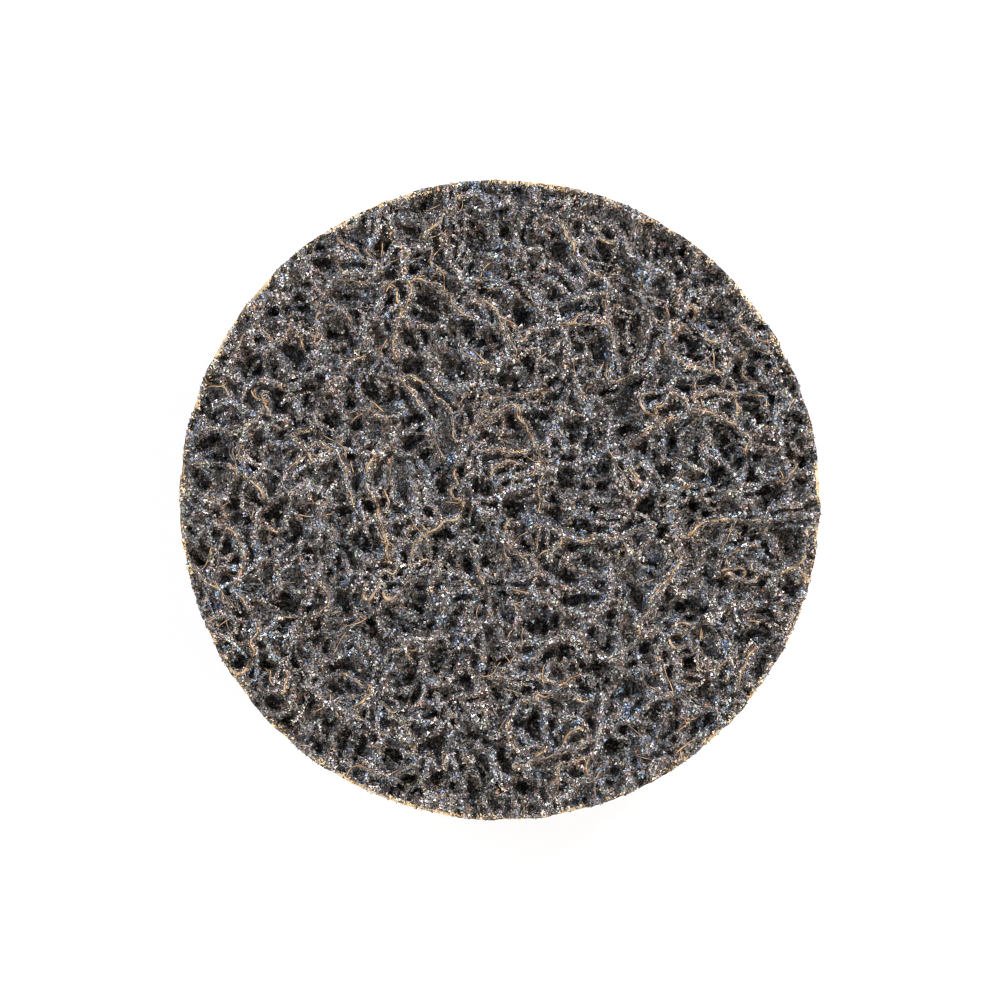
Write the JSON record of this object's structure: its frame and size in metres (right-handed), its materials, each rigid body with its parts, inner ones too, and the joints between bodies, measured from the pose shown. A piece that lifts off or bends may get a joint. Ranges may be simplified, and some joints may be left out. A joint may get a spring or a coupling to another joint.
{
  "type": "surface conditioning disc",
  "caption": "Round coarse nonwoven abrasive disc for blending and cleaning metal, backed with woven cloth and a screw-in quick change button.",
  "frame": {"origin": "centre of the free end of the button's stud, on the surface that the disc stands on", "axes": "+Z along the axis of rotation, out of the abrasive face; X and Y are free, as the disc is round"},
  "size_m": [0.05, 0.05, 0.0126],
  "materials": {
    "resin_and_grain": "rough nonwoven nylon coated with dark resin and glittering grain",
    "woven_scrim": "plain woven cloth soaked in amber resin",
    "moulded_nylon": "satin moulded nylon"
  },
  "bodies": {
    "root": {"abrasive_web": "resin_and_grain", "scrim_backing": "woven_scrim", "quick_change_button": "moulded_nylon"}
  },
  "joints": []
}
